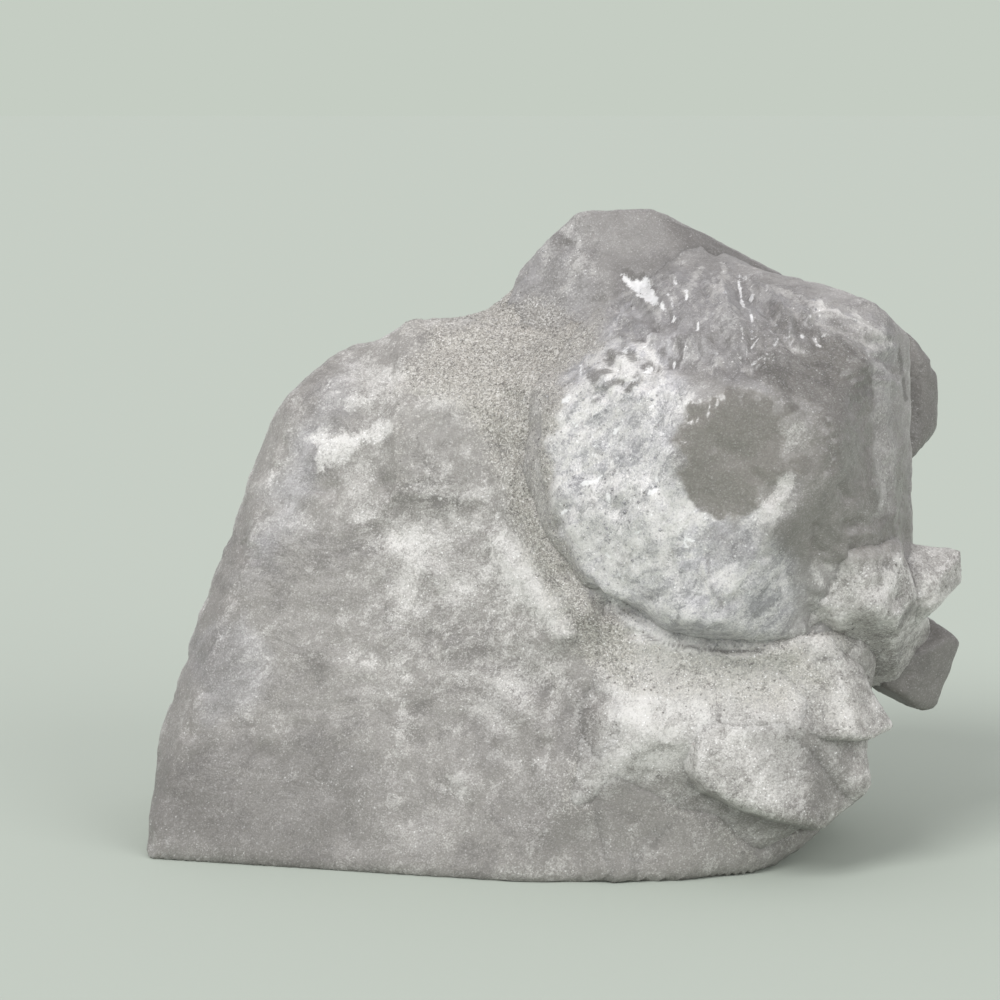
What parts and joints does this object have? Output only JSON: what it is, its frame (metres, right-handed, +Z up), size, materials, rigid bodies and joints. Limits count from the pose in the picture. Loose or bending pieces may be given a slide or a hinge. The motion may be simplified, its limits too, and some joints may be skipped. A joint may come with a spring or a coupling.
{
  "type": "quartz crystal cluster",
  "caption": "Pale grey cluster of grown-together quartz crystals, frosted with a clear window, sandy crust in its crevices, cut flat underneath to stand on.",
  "frame": {"origin": "middle of the flat cut base, on the surface that the cluster stands on", "axes": "+Z up, -Y out of the front where the clear window is, +X to the right of someone who looks at the window"},
  "size_m": [0.1494, 0.0948, 0.1181],
  "materials": {
    "quartz": "satin"
  },
  "bodies": {
    "root": {"quartz_cluster": "quartz"}
  },
  "joints": []
}
